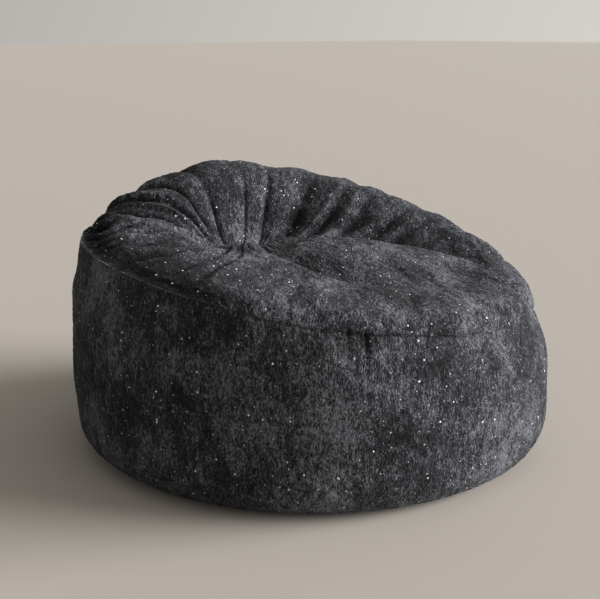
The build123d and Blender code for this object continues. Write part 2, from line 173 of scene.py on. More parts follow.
def wall_point(bearing, share):
    """Point on the side band, from the floor at 0 to the seam at 1."""
    height = seam_height(bearing) * share
    sizes = (FOOT_RADIUS, WALL_LOW_RADIUS, BELLY_RADIUS, SEAM_RADIUS)
    foot, low, belly, top = (lean(size, bearing) for size in sizes)
    if height < WALL_LOW_HEIGHT:
        turn = 1 - height / WALL_LOW_HEIGHT
        return on_bearing(bearing, between(foot, low, (1 - turn * turn) ** 0.5), height)
    if height < BELLY_HEIGHT:
        rise = (height - WALL_LOW_HEIGHT) / (BELLY_HEIGHT - WALL_LOW_HEIGHT)
        return on_bearing(bearing, between(low, belly, sin(rise * pi / 2)), height)
    rise = (height - BELLY_HEIGHT) / (seam_height(bearing) - BELLY_HEIGHT)
    return on_bearing(bearing, between(belly, top, rise ** 2), height)


def shoulder_point(bearing, share):
    """Point on the outer roll of the top panel, from the seam at 0 to the crest at 1.

    Where the roll rises little, its rings go evenly inwards.
    """
    turn = share * pi / 2
    low, high = seam_height(bearing), around(CREST_HEIGHTS, bearing)
    flat = 1 - smooth((high - low) / FLAT_RISE)
    inward = between(1 - cos(turn), share, flat)
    radius = between(lean(SEAM_RADIUS, bearing), around(CREST_RADII, bearing), inward)
    return on_bearing(bearing, radius + SHOULDER_BULGE * sin(2 * turn), between(low, high, sin(turn)))


def valley_dip(valley, bearing, share):
    """Depth of a valley beside the seat, steep on its left as one looks from the crest to the pit."""
    step = min(bisect_right(VALLEY_SHARES, share), len(VALLEY_SHARES) - 1)
    part = smooth((share - VALLEY_SHARES[step - 1]) / (VALLEY_SHARES[step] - VALLEY_SHARES[step - 1]))
    line, depth = (between(a, b, part) for a, b in zip(valley[step - 1], valley[step]))
    off = half_turn(bearing - radians(line))
    return depth * bell(off, STEEP_SIDE if off < 0 else GENTLE_SIDE)


def seat_point(bearing, share):
    """Point inside the crest, from the crest at 0 to the pit at 1."""
    pit_edge = around(PIT_EDGES, bearing)
    crest, seat = around(CREST_HEIGHTS, bearing), around(SEAT_HEIGHTS, bearing)
    height = between(crest, seat, smooth(share / SEAT_SHARE))
    height = between(height, PIT.z, smooth((share - pit_edge) / (1 - pit_edge)))
    height -= valley_dip(RIGHT_VALLEY, bearing, share) + valley_dip(LEFT_VALLEY, bearing, share)
    point = on_bearing(bearing, around(CREST_RADII, bearing) * (1 - share) ** PIT_CROWDING, height)
    return point + Vector((PIT.x, PIT.y, 0)) * smooth(share)


stations = [(hem_point, step / HEM_RINGS) for step in range(HEM_RINGS)]
stations += [(wall_point, step / WALL_RINGS) for step in range(WALL_RINGS)]
stations += [(shoulder_point, step / SHOULDER_RINGS) for step in range(SHOULDER_RINGS)]
stations += [(seat_point, step / SEAT_RINGS) for step in range(SEAT_RINGS)]

bm = bmesh.new()
bearing_of = bm.verts.layers.float.new("bearing")
ring_of = bm.verts.layers.int.new("ring")
# Painted shade for the pile colour: above 0 it darkens creases and the tuck, below 0 it lightens ridges
hollow_of = bm.verts.layers.float.new("hollow")
bmesh.ops.create_circle(bm, segments=RING_POINTS, radius=1.0)
for vert in bm.verts:
    vert[bearing_of] = Vector((1, 0)).angle_signed(vert.co.xy, 0) * -1
ring_verts, ring_edges = list(bm.verts), list(bm.edges)
for index, (point_at, share) in enumerate(stations):
    if index:
        grown = bmesh.ops.extrude_edge_only(bm, edges=ring_edges)["geom"]
        ring_verts = [item for item in grown if isinstance(item, bmesh.types.BMVert)]
        new_verts = set(ring_verts)
        new_edges = [item for item in grown if isinstance(item, bmesh.types.BMEdge)]
        ring_edges = [edge for edge in new_edges if new_verts.issuperset(edge.verts)]
    for vert in ring_verts:
        vert.co = point_at(vert[bearing_of], share)
        vert[ring_of] = index
bmesh.ops.recalc_face_normals(bm, faces=bm.faces)
bm.normal_update()

# Gathered folds, uneven in width, with a crease between each two
fold_rng = random.Random(FOLD_SEED)
creases = [0.0]
while creases[-1] < tau:
    width = around(FOLD_WIDTHS, creases[-1] - pi) * fold_rng.uniform(*WIDTH_RANGE)
    creases.append(creases[-1] + width)
creases = [crease * tau / creases[-1] - pi for crease in creases]
fold_heights = [fold_rng.uniform(*HEIGHT_RANGE) for crease in creases]


def fold_lift(bearing, share):
    """Lift of the folds as an angle; share is 0 at the seam, 1 at the crest and 2 at the pit."""
    place = half_turn(bearing + SWAY * noise_round(bearing, share, SWAY_SCALE))
    fold = min(bisect_right(creases, place), len(creases) - 1) - 1
    width = creases[fold + 1] - creases[fold]
    across = (place - creases[fold]) / width
    crinkle = abs(noise_round(bearing, share, CRINKLE_SCALE)) - CRINKLE_MEAN
    calm = 1 - around(CREST_CALM, bearing) * bell(share - 1, CREST_REACH)
    swell = sin(pi * across ** FOLD_SKEW) ** around(CREASE_SOFTNESS, bearing) - FOLD_MEAN
    lift = calm * (width * fold_heights[fold] * swell + CRINKLE * crinkle)
    return between(min(lift, 0.0), lift, smooth(share / FULL_SWELL_SHARE))


for vert in bm.verts:
    bearing, ring = vert[bearing_of], vert[ring_of]
    lump = LUMP_HEIGHT * noise.noise(vert.co / LUMP_SIZE) if ring > SEAM_RING * LUMP_FROM else 0.0
    if ring > SEAM_RING:
        share = (ring - SEAM_RING) / SHOULDER_RINGS
        if share > 1:
            share = 1 + (ring - SEAM_RING - SHOULDER_RINGS) / SEAT_RINGS
        reach = (vert.co.xy - PIT.xy * smooth(share - 1)).length
        depth = FOLD_DEPTH * reach * gather(bearing) * smooth(share / FULL_DEPTH_SHARE)
        fold = depth * fold_lift(bearing, share)
        # Painted shade: a crease darkens the pile colour in full, and a ridge lightens it by a share of its
        # height
        vert[hollow_of] = max(-fold, -RIDGE_LIGHT_SHARE * fold)
        lump += fold
    vert.co += vert.normal * lump


def order_key(part):
    """Sort key for an edge or a face, from the lowest two of its vertices."""
    first, second = sorted(vert.index for vert in part.verts)[:2]
    return first * len(bm.verts) + second


# Extrusion leaves edges and faces in an order of chance, and the simulation's result would vary with it
bm.verts.index_update()
bm.edges.sort(key=order_key)
bm.faces.sort(key=order_key)
skin_mesh = bpy.data.meshes.new("skin")
bm.to_mesh(skin_mesh)
bm.free()
skin = bpy.data.objects.new("skin", skin_mesh)
bpy.context.collection.objects.link(skin)

# Cloth simulation: hem and pit are sewn down, the seam is held, and the gathered parts have cloth to spare
FILL_PRESSURE = 4.0
SETTLE_FRAMES = 20
MOST_SWELL = 0.022
HELD = 0.12
SEAM_HELD = 0.8
SEAM_REACH = 5
SEWN_FOOT_RINGS = 2
SEWN_PIT_RINGS = 6
SPARE_CLOTH = (0.015, 0.05)

held = skin.vertex_groups.new(name="held")
spare = skin.vertex_groups.new(name="spare")
skin_rings = [item.value for item in skin_mesh.attributes["ring"].data]
skin_bearings = [item.value for item in skin_mesh.attributes["bearing"].data]
for index, (ring, bearing) in enumerate(zip(skin_rings, skin_bearings)):
    sewn = ring <= HEM_RINGS + SEWN_FOOT_RINGS or ring >= LAST_RING - SEWN_PIT_RINGS
    seamed = SEAM_HELD * bell(ring - SEAM_RING, SEAM_REACH)
    held.add([index], 1.0 if sewn else max(HELD, seamed), "REPLACE")
    spare.add([index], min(1.0, gather(bearing)) if ring > SEAM_RING else 0.0, "REPLACE")
cloth = skin.modifiers.new("filled", "CLOTH")
cloth.settings.quality = 4
cloth.settings.mass = 0.3
cloth.settings.tension_stiffness = 12
cloth.settings.compression_stiffness = 12
cloth.settings.shear_stiffness = 5
cloth.settings.bending_stiffness = 0.4
cloth.settings.shrink_min, cloth.settings.shrink_max = (-spared for spared in SPARE_CLOTH)
cloth.settings.vertex_group_shrink = "spare"
cloth.settings.vertex_group_mass = "held"
cloth.settings.use_pressure = True
cloth.settings.uniform_pressure_force = FILL_PRESSURE
cloth.settings.effector_weights.gravity = 0
cloth.collision_settings.use_collision = False
cloth.point_cache.frame_end = SETTLE_FRAMES
for frame_number in range(1, SETTLE_FRAMES + 1):
    bpy.context.scene.frame_set(frame_number)
settled = skin.evaluated_get(bpy.context.evaluated_depsgraph_get()).to_mesh()
moves = [after.co - before.co for before, after in zip(skin_mesh.vertices, settled.vertices)]
for vert, move in zip(skin_mesh.vertices, moves):
    move.length = min(move.length, MOST_SWELL)
    vert.co += move
skin.modifiers.remove(cloth)
bpy.data.objects.remove(skin)

# Plush cover: a straight side band and a gathered top panel of short charcoal pile, sewn edge to edge.
# The seam draws both in. On the left the top tucks in behind it, and at the front two puckers run down.
# The pile lies down the wall and across the seat, and pale star-like specks are printed all over it.
# Painted shade darkens the pile in its fold creases and behind the tuck, and painted light brightens its
# ridges.
SEAM_DRAW = 0.0032
SEAM_SPREAD = 0.8
SEAM_UNEVEN = 0.4
GATHER_HEIGHT = 0.0014
GATHER_RINGS = 3.5
GATHER_LEAST = 0.35
GATHER_SCALE = (26, 0.3)
# Each pucker's bearing, and its length down from the seam
PUCKERS = ((radians(-122.8125), 0.042), (radians(-119.0625), 0.064))
PUCKER_WIDTH = radians(0.38)
PUCKER_DEPTH = 0.008
PUCKER_ABOVE = 0.012
TUCK_BEARING = radians(164)
TUCK_HALF = radians(44)
TUCK_RINGS = 3.0
TUCK_DEPTH = 0.006
# Painted shade behind the tuck on the left: how dark it is, and over how many rings above the seam it
# spreads
TUCK_SHADE = 0.026
TUCK_SHADE_RINGS = 5.5
PILE_LUMP = (0.0075, 0.0014)
PILE_TUFT = (0.0038, 0.0009)
PIT_OPENING = 0.06
PILE_LIE = on_bearing(radians(50), 1.0, 0.0)
PILE_STRETCH = 0.55
WALL_PILE_RADIUS = 0.46
WALL_PILE_STEP = 0.0095


def seam_work(ring, bearing):
    """How far stitching draws the cloth in at a place near the seam."""
    above = ring - SEAM_RING
    ripple = noise_round(bearing, above, GATHER_SCALE)
    drawn = SEAM_DRAW * bell(above, SEAM_SPREAD) * (1 + SEAM_UNEVEN * ripple)
    if above > 0:
        height = GATHER_HEIGHT * between(GATHER_LEAST, 1.0, gather(bearing))
        drawn -= height * ripple * exp(-above / GATHER_RINGS)
    return drawn


def seam_tuck(ring, bearing, rings):
    """How far the top panel tucks in behind the seam on the left, from 0 to 1; with wider rings, how much
    painted shade lies behind it.
    """
    above = (ring - SEAM_RING) / rings
    off = half_turn(bearing - TUCK_BEARING)
    return max(0.0, above) * exp(1 - above) * exp(-((off / TUCK_HALF) ** 4))


def pucker_depth(bearing, height):
    """Depth of the puckers that run down from the seam at the front."""
    below = seam_height(bearing) - height
    depth = 0.0
    for middle, length in PUCKERS:
        fade = 1 - below / length if below > 0 else 1 + below / PUCKER_ABOVE
        depth += PUCKER_DEPTH * max(0.0, fade) * bell(bearing - middle, PUCKER_WIDTH)
    return depth


def skin_panel(first, last, depth=0.0, smoothing=0):
    """The part of the settled skin between two rings, smoothed and taken in by a depth."""
    bm = bmesh.new()
    bm.from_mesh(skin_mesh)
    ring_of, bearing_of = bm.verts.layers.int["ring"], bm.verts.layers.float["bearing"]
    axes = {"use_axis_x": True, "use_axis_y": True, "use_axis_z": True}
    for turn in range(smoothing):
        bmesh.ops.smooth_vert(bm, verts=bm.verts, factor=0.5, **axes)
    bm.normal_update()
    draws = [depth + seam_work(vert[ring_of], vert[bearing_of]) for vert in bm.verts]
    for vert, draw in zip(bm.verts, draws):
        vert.co -= vert.normal * draw
    outside = [vert for vert in bm.verts if not first <= vert[ring_of] <= last]
    bmesh.ops.delete(bm, geom=outside, context="VERTS")
    return bm


def close_pit(bm):
    """Draw the open ring at the pit together into one point."""
    rim = [edge for edge in bm.edges if edge.is_boundary and (edge.verts[0].co - PIT).length < PIT_OPENING]
    grown = bmesh.ops.extrude_edge_only(bm, edges=rim)["geom"]
    tip = [item for item in grown if isinstance(item, bmesh.types.BMVert)]
    middle = sum((vert.co for vert in tip), Vector()) / len(tip)
    bmesh.ops.pointmerge(bm, verts=tip, merge_co=middle)


def add_piece(name, bm, body, material):
    """Make a piece of the object from a bmesh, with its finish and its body."""
    mesh = bpy.data.meshes.new(name)
    bm.to_mesh(mesh)
    bm.free()
    mesh.materials.append(material)
    for face in mesh.polygons:
        face.use_smooth = True
    piece = bpy.data.objects.new(name, mesh)
    bpy.context.collection.objects.link(piece)
    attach(piece, body)
    return piece


def subdivided(bm):
    """The same surface with each face cut in four and smoothed, as a new bmesh."""
    mesh = bpy.data.meshes.new("to_subdivide")
    bm.to_mesh(mesh)
    bm.free()
    holder = bpy.data.objects.new("to_subdivide", mesh)
    bpy.context.collection.objects.link(holder)
    smoother = holder.modifiers.new("subdivision", "SUBSURF")
    smoother.levels = smoother.render_levels = 1
    finer = bmesh.new()
    finer.from_mesh(holder.evaluated_get(bpy.context.evaluated_depsgraph_get()).to_mesh())
    bpy.data.objects.remove(holder)
    return finer


class Shade:
    """A socket in a material or the world: arithmetic on it adds Math nodes, and node() adds any other."""

    def __init__(self, material, socket=None):
        self.material, self.socket = material, socket

    def node(self, kind, settings, sockets, output=0):
        tree = self.material.node_tree
        made = tree.nodes.new("ShaderNode" + kind)
        for name, value in settings.items():
            if name == "stops":
                made_stops = made.color_ramp.elements
                for index, (place, colour) in enumerate(value):
                    stop = made_stops[index] if index < len(made_stops) else made_stops.new(place)
                    stop.position, stop.color = place, (*colour, 1)
            else:
                setattr(made, name, value)
        for name, value in sockets.items():
            if isinstance(value, Shade):
                tree.links.new(value.socket, made.inputs[name])
            else:
                made.inputs[name].default_value = value
        return Shade(self.material, made.outputs[output])

    def maths(self, operation, first, second):
        return self.node("Math", {"operation": operation}, {0: first, 1: second})

    def __add__(self, other):
        return self.maths("ADD", self, other)

    def __sub__(self, other):
        return self.maths("SUBTRACT", self, other)

    def __rsub__(self, other):
        return self.maths("SUBTRACT", other, self)

    def __mul__(self, other):
        return self.maths("MULTIPLY", self, other)

    def __pow__(self, other):
        return self.maths("POWER", self, other)

    __radd__ = __add__
    __rmul__ = __mul__

    def rise(self, low, high):
        """0 below low and 1 above high, with a smooth step between; the other way if low is above high."""
        settings = {"interpolation_type": "SMOOTHSTEP"}
        return self.node("MapRange", settings, {"Value": self, "From Min": low, "From Max": high})

    def mix(self, low, high):
        """A colour that goes from low to high as this value goes from 0 to 1."""
        return self.node("Mix", {"data_type": "RGBA"}, {"Factor": self, 6: low, 7: high}, output=2)

    def ramp(self, *stops):
        return self.node("ValToRGB", {"stops": stops}, {"Fac": self})


def new_finish(name, **constants):
    """A material with constants set on its shader's own sockets, and a Shade to build the rest from."""
    material = bpy.data.materials.new(name)
    material.use_nodes = True
    surface = material.node_tree.nodes["Principled BSDF"]
    for socket, value in constants.items():
        surface.inputs[socket.replace("_", " ")].default_value = value
    return material, Shade(material)


def paint(material, **shades):
    """Feed values that change over the surface to the shader."""
    surface = material.node_tree.nodes["Principled BSDF"]
    for socket, shade in shades.items():
        material.node_tree.links.new(shade.socket, surface.inputs[socket.replace("_", " ")])


def object_place(shade):
    return shade.node("TexCoord", {}, {}, output=3)


def spread(shade, place, stretch):
    """A place scaled on each axis, so that a pattern on it is drawn out."""
    return shade.node("VectorMath", {"operation": "MULTIPLY"}, {0: place, 1: stretch})


def cloud(shade, place, scale, detail=3.0, roughness=0.55, distortion=0.0):
    sockets = {
        "Vector": place,
        "Scale": scale,
        "Detail": detail,
        "Roughness": roughness,
        "Distortion": distortion,
    }
    return shade.node("TexNoise", {}, sockets)


def bump(shade, height, distance, strength=1.0):
    return shade.node("Bump", {}, {"Height": height, "Distance": distance, "Strength": strength})


PLUSH_DARK = (0.0055, 0.0058, 0.0067)
PLUSH_MIDDLE = (0.030, 0.0315, 0.0365)
PLUSH_LIGHT = (0.130, 0.136, 0.153)
NAP_RANGE = (0.41, 0.60)
# How strongly the painted shade darkens, or on ridges lightens, the pile's tone
HOLLOW_SHADE = 4.5
PILE_RELIEF = (0.010, 0.8)
LONG_LIE = (1, 1, 0.55)
SHORT_LIE = (1, 1, 0.75)
SPECK_COLOUR = (0.82, 0.83, 0.86, 1)
SPECK_CONTRAST = 1.5

# Specks: cells to a metre, radius, the share of the radius that is full, and the least tone that shows
STARS = (62, 0.0023, 0.45, 0.1)
DUST = (105, 0.0015, 0.5, 0.3)
DUST_STRENGTH = 0.65
GLOW = (19, 0.0050, 0.1, 0.35)
GLOW_STRENGTH = 0.35

plush, shade = new_finish(
    "plush",
    Roughness=0.95,
    Specular_IOR_Level=0.12,
    Sheen_Weight=0.05,
    Sheen_Roughness=0.45,
    Sheen_Tint=(0.62, 0.65, 0.72, 1),
)
place = object_place(shade)
pile = shade.node("Attribute", {"attribute_name": "pile"}, {}, output=1)
patches = cloud(shade, place, 8, 3)
brushed = cloud(shade, spread(shade, pile, SHORT_LIE), 30, 4, 0.65, 0.8)
strokes = cloud(shade, spread(shade, pile, LONG_LIE), 120, 3, 0.6, 0.5)
fibres = cloud(shade, spread(shade, pile, LONG_LIE), 330, 2, 0.6)
fuzz = cloud(shade, place, 450, 2, 0.6)
# The pile's own tone from its pattern, less painted shade in creases and behind the tuck, plus painted
# light on ridges
hollow = shade.node("Attribute", {"attribute_name": "hollow"}, {}, output=2)
nap_and_painted_shade = 0.20 * patches + 0.17 * brushed + 0.17 * strokes + 0.26 * fibres + 0.20 * fuzz - HOLLOW_SHADE * hollow
pile_colour_and_painted_shade = nap_and_painted_shade.rise(*NAP_RANGE).ramp((0.0, PLUSH_DARK), (0.5, PLUSH_MIDDLE), (1.0, PLUSH_LIGHT))


def specks(shade, place, cells, radius, full, least):
    """Round specks at scattered places, some left out and each of its own brightness."""
    settings = {"feature": "F1"}
    near = shade.node("TexVoronoi", settings, {"Vector": place, "Scale": cells})
    tone = shade.node("TexVoronoi", settings, {"Vector": place, "Scale": cells}, output=1)
    tone = shade.node("SeparateColor", {}, {"Color": tone})
    return near.rise(radius * cells, radius * cells * full) * tone.rise(least, 1.0) ** SPECK_CONTRAST


glow = GLOW_STRENGTH * specks(shade, place, *GLOW)
stars = specks(shade, place, *STARS) + DUST_STRENGTH * specks(shade, place, *DUST)
paint(
    plush,
    Base_Color=(stars + glow).rise(0.0, 1.0).mix(pile_colour_and_painted_shade, SPECK_COLOUR),
    Normal=bump(shade, 0.45 * fibres + 0.35 * strokes + 0.2 * fuzz, *PILE_RELIEF),
)


def plush_panel(name, first, last):
    """A panel of the cover with a tufted pile, an attribute that follows the lie of the pile, and painted
    shade added behind the tuck.
    """
    bm = skin_panel(first, last)
    is_top = last == LAST_RING
    bearing_of, ring_of = bm.verts.layers.float["bearing"], bm.verts.layers.int["ring"]
    hollow_of = bm.verts.layers.float["hollow"]
    pile_of = bm.verts.layers.float_vector.new("pile")
    bm.normal_update()
    for vert in bm.verts:
        vert.co -= vert.normal * TUCK_DEPTH * seam_tuck(vert[ring_of], vert[bearing_of], TUCK_RINGS)
        # Painted shade: darken the pile colour just behind the tuck, where the recess would be in shade
        vert[hollow_of] += TUCK_SHADE * seam_tuck(vert[ring_of], vert[bearing_of], TUCK_SHADE_RINGS)
        if is_top:
            vert[pile_of] = vert.co - PILE_LIE * PILE_LIE.dot(vert.co) * PILE_STRETCH
        else:
            vert[pile_of] = on_bearing(vert[bearing_of], WALL_PILE_RADIUS, vert[ring_of] * WALL_PILE_STEP)
    bm = subdivided(bm)
    if is_top:
        close_pit(bm)
    bm.normal_update()
    for vert in bm.verts:
        bearing = atan2(vert.co.y, vert.co.x)
        vert.co -= on_bearing(bearing, pucker_depth(bearing, vert.co.z), 0.0)
        if not vert.is_boundary:
            tuft = sum(height * noise.noise(vert.co / size) for size, height in (PILE_LUMP, PILE_TUFT))
            vert.co += vert.normal * tuft
            vert.co.z = max(vert.co.z, 0.0)
    return add_piece(name, bm, "bag", plush)


cover_side = plush_panel("cover_side", 0, SEAM_RING)
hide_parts("cover_side_band")
cover_top = plush_panel("cover_top", SEAM_RING, LAST_RING)
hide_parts("cover_top_panel")

# Cover base: two panels of black woven polyester beside a zipper, and a tab at each of the zipper's ends.
# Its raised middle keeps the zipper off the floor. Two rows of stitches fasten each panel to its tape.
# The round edge is sewn to the hem that turns under the foot.
SLOT_HALF = 0.012
STRIP_HALF = 0.030
EDGE_POINTS = 160
GRID_STEP = 0.02
STITCH_ROWS = (0.0155, 0.0215)
STITCH_PITCH = 0.0042
STITCH_SIZE = (0.0016, 0.00045, 0.00035)


def weave(shade, place, pitch):
    """Height of a plain weave with threads along X and Y; a wave repeats every pi / 10 / scale."""
    scale = pi / 10 / pitch
    sockets = {"Vector": place, "Scale": scale, "Distortion": 0.6, "Detail": 1.0, "Detail Scale": 2.0}
    warp = shade.node("TexWave", {"bands_direction": "X"}, sockets, output=1)
    weft = shade.node("TexWave", {"bands_direction": "Y"}, sockets, output=1)
    return warp * weft


def woven(name, dark, light, pitch, relief):
    """A woven cloth finish, darker between its threads and a little uneven in its dye."""
    material, shade = new_finish(name, Roughness=0.85, Specular_IOR_Level=0.25, Sheen_Weight=0.1)
    place = object_place(shade)
    threads = weave(shade, place, pitch)
    dye = cloud(shade, place, 35, 3)
    paint(
        material,
        Base_Color=(0.65 * threads + 0.35 * dye).rise(0.1, 0.85).mix((*dark, 1), (*light, 1)),
        Normal=bump(shade, threads, relief),
    )
    return material


def base_height(across, flat, top, foot):
    """Height of a base layer's underside across a zipper: top over its strip, and flat beyond the foot."""
    return between(flat, top, smooth((foot - abs(across)) / (foot - STRIP_HALF)))


def cut_grid(bm, reach):
    """Cut all faces along lines across X and Y, so that the cloth can bend."""
    for axis in (Vector((1, 0, 0)), Vector((0, 1, 0))):
        for step in range(-int(reach / GRID_STEP), int(reach / GRID_STEP) + 1):
            geometry = list(bm.verts) + list(bm.edges) + list(bm.faces)
            bmesh.ops.bisect_plane(bm, geom=geometry, plane_co=axis * step * GRID_STEP, plane_no=axis)


def base_sheet(radius, form, thickness, trims):
    """A round base layer bent over its raised strip, trimmed by planes and given its thickness."""
    bm = bmesh.new()
    bmesh.ops.create_circle(bm, cap_ends=True, segments=EDGE_POINTS, radius=radius)
    cut_grid(bm, radius)
    for trim_place, trim_way in trims:
        geometry = list(bm.verts) + list(bm.edges) + list(bm.faces)
        bmesh.ops.bisect_plane(bm, geom=geometry, plane_co=trim_place, plane_no=trim_way, clear_outer=True)
    for vert in bm.verts:
        vert.co.z = base_height(vert.co.y, *form)
    grown = bmesh.ops.extrude_face_region(bm, geom=list(bm.faces))["geom"]
    upper = [item for item in grown if isinstance(item, bmesh.types.BMVert)]
    bmesh.ops.translate(bm, verts=upper, vec=(0, 0, thickness))
    bmesh.ops.recalc_face_normals(bm, faces=bm.faces)
    return bm


def base_layer(layer, radius, form, thickness, zip_half, slot_name, material):
    """The front and rear panels and the two tabs of one base, as sheets of cloth."""
    depth = radius - SLOT_HALF
    for end, side in (("front", -1), ("rear", 1)):
        bm = base_sheet(radius, form, thickness, [((0, side * SLOT_HALF, 0), (0, -side, 0))])
        panel = add_piece(f"{layer}_base_{end}_cloth", bm, "bag", material)
        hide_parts(f"{layer}_base_{end}")
        area = pi * radius ** 2 / 2 - 2 * radius * SLOT_HALF
        2 * radius
    for end, side in (("left", -1), ("right", 1)):
        edges = [((0, edge * SLOT_HALF, 0), (0, edge, 0)) for edge in (-1, 1)]
        bm = base_sheet(radius, form, thickness, edges + [((side * zip_half, 0, 0), (-side, 0, 0))])
        tab = add_piece(f"{layer}_zip_tab_{end}_cloth", bm, "bag", material)
        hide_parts(f"{layer}_zip_tab_{end}")
        radius - zip_half


def stitch_rows(name, length, height, material):
    """Rows of short stitches along both sides of a zipper, on the underside of the base."""
    bm = bmesh.new()
    for row in STITCH_ROWS:
        for side in (-1, 1):
            for step in range(int(length / STITCH_PITCH)):
                along = (step + 0.5) * STITCH_PITCH - length / 2
                spot = Matrix.LocRotScale(Vector((along, side * row, height)), None, Vector(STITCH_SIZE))
                bmesh.ops.create_icosphere(bm, subdivisions=1, radius=1.0, matrix=spot)
    return add_piece(name, bm, "bag", material)


COVER_BASE_RADIUS = 0.404
COVER_BASE_FORM = (0.0012, 0.0080, 0.060)
COVER_BASE_THICKNESS = 0.003
COVER_SLOT_HALF_LENGTH = 0.3425
BASE_BLACK = ((0.006, 0.006, 0.007), (0.030, 0.030, 0.033))
BASE_WEAVE = (0.0011, 0.0003)

base_cloth = woven("base_cloth", *BASE_BLACK, *BASE_WEAVE)
cover_sizes = (COVER_BASE_RADIUS, COVER_BASE_FORM, COVER_BASE_THICKNESS, COVER_SLOT_HALF_LENGTH)
base_layer("cover", *cover_sizes, "base_cloth", base_cloth)
stitch_rows("cover_base_stitches", 2 * COVER_SLOT_HALF_LENGTH, COVER_BASE_FORM[1], base_cloth)

# Cover zipper: a coarse moulded zipper on two woven tapes, which are sewn inside the base beside its slot.
# Its teeth and stops are black acetal.
# Its slider and pull are cast zinc with a black lacquer that has worn a little.
TAPE_RIBS = (20, 0.00012)
TAPE_GRID = (90, 40)
TAPE_BLACK = ((0.006, 0.006, 0.007), (0.026, 0.026, 0.029))
TAPE_WEAVE = (0.0008, 0.0002)
TEETH_BLACK = ((0.010, 0.010, 0.011), (0.024, 0.024, 0.026))
LACQUER = (0.012, 0.012, 0.013, 1)
ZINC = (0.42, 0.41, 0.39, 1)


def tape_strip(node, material):
    """A woven tape in the place of its node, with fine ribs along its length."""
    low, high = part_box(node)
    length, width, thickness = high[0] - low[0], high[1] - low[1], high[2] - low[2]
    bm = bmesh.new()
    along, across = TAPE_GRID
    bmesh.ops.create_grid(bm, x_segments=along, y_segments=across, size=0.5)
    bmesh.ops.scale(bm, verts=bm.verts, vec=(length, width, 1))
    rib_count, rib_height = TAPE_RIBS
    for vert in bm.verts:
        rib = rib_height * cos(tau * rib_count / 2 * vert.co.y / width)
        vert.co.z = thickness / 2 - rib_height + rib
    grown = bmesh.ops.extrude_face_region(bm, geom=list(bm.faces))["geom"]
    lower = [item for item in grown if isinstance(item, bmesh.types.BMVert)]
    bmesh.ops.translate(bm, verts=lower, vec=(0, 0, 2 * rib_height - thickness))
    bmesh.ops.translate(bm, verts=bm.verts, vec=[(a + b) / 2 for a, b in zip(low, high)])
    bmesh.ops.recalc_face_normals(bm, faces=bm.faces)
    strip = add_piece(node + "_cloth", bm, "bag", material)
    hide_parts(node)


def moulded(name, dark, light):
    """Moulded plastic with a faint flow pattern and a soft gloss."""
    material, shade = new_finish(name, Specular_IOR_Level=0.45)
    flow = cloud(shade, object_place(shade), 260, 3)
    grain = cloud(shade, object_place(shade), 2400, 2)
    paint(
        material,
        Base_Color=flow.rise(0.3, 0.7).mix((*dark, 1), (*light, 1)),
        Roughness=0.30 + 0.18 * flow,
        Normal=bump(shade, grain, 0.00008),
    )
    return material


def finish_nodes(material, *nodes):
    """Give CAD nodes a finish of this script's own."""
    for node in nodes:
        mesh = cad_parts[node].data
        mesh.materials.clear()
        mesh.materials.append(material)


zip_tape = woven("zip_tape", *TAPE_BLACK, *TAPE_WEAVE)
for end in ("front", "rear"):
    tape_strip(f"cover_zip_tape_{end}", zip_tape)
zip_teeth = moulded("zip_teeth", *TEETH_BLACK)
chain = ("teeth_front", "teeth_rear", "top_stops", "bottom_stop")
finish_nodes(zip_teeth, *(f"cover_zip_{part}" for part in chain))

slider_metal, shade = new_finish("slider_metal", Specular_IOR_Level=0.5)
place = object_place(shade)
worn = cloud(shade, place, 420, 5, 0.7).rise(0.66, 0.74)
lacquer = cloud(shade, place, 1500, 2)
paint(
    slider_metal,
    Base_Color=worn.mix(LACQUER, ZINC),
    Metallic=worn,
    Roughness=0.28 + 0.16 * lacquer,
    Normal=bump(shade, lacquer, 0.00006),
)
finish_nodes(slider_metal, "cover_zip_slider", "cover_zip_pull")

# Liner: an inner bag of thin undyed polyester that holds the foam, cut like the cover and inside it.
# It has a shorter zipper of its own across the base, with white teeth and a slider that has no pull.
LINER_DEPTH = 0.0150
LINER_SMOOTHING = 10
LINER_BASE_RADIUS = 0.395
LINER_HEM_RADIUS = 0.391
LINER_BASE_FORM = (0.0048, 0.0190, 0.072)
LINER_THICKNESS = 0.0015
LINER_SLOT_HALF_LENGTH = 0.2625
UNDYED = ((0.50, 0.49, 0.46), (0.78, 0.77, 0.74))
LINER_WEAVE = (0.0009, 0.0002)
TEETH_WHITE = ((0.70, 0.69, 0.66), (0.82, 0.81, 0.78))

liner_cloth = woven("liner_cloth", *UNDYED, *LINER_WEAVE)
bm = skin_panel(0, SEAM_RING, LINER_DEPTH, LINER_SMOOTHING)
ring_of, bearing_of = bm.verts.layers.int["ring"], bm.verts.layers.float["bearing"]
for vert in bm.verts:
    if vert[ring_of] == 0:
        vert.co = on_bearing(vert[bearing_of], LINER_HEM_RADIUS, 0.0)
        vert.co.z = base_height(vert.co.y, *LINER_BASE_FORM) + LINER_THICKNESS
liner_side = add_piece("liner_side", bm, "bag", liner_cloth)
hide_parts("liner_side_band")
bm = skin_panel(SEAM_RING, LAST_RING, LINER_DEPTH, LINER_SMOOTHING)
close_pit(bm)
liner_top = add_piece("liner_top", bm, "bag", liner_cloth)
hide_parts("liner_top_panel")
liner_sizes = (LINER_BASE_RADIUS, LINER_BASE_FORM, LINER_THICKNESS, LINER_SLOT_HALF_LENGTH)
base_layer("liner", *liner_sizes, "liner_cloth", liner_cloth)
liner_zip_tape = woven("liner_zip_tape", *UNDYED, *TAPE_WEAVE)
for end in ("front", "rear"):
    tape_strip(f"liner_zip_tape_{end}", liner_zip_tape)
liner_zip_teeth = moulded("liner_zip_teeth", *TEETH_WHITE)
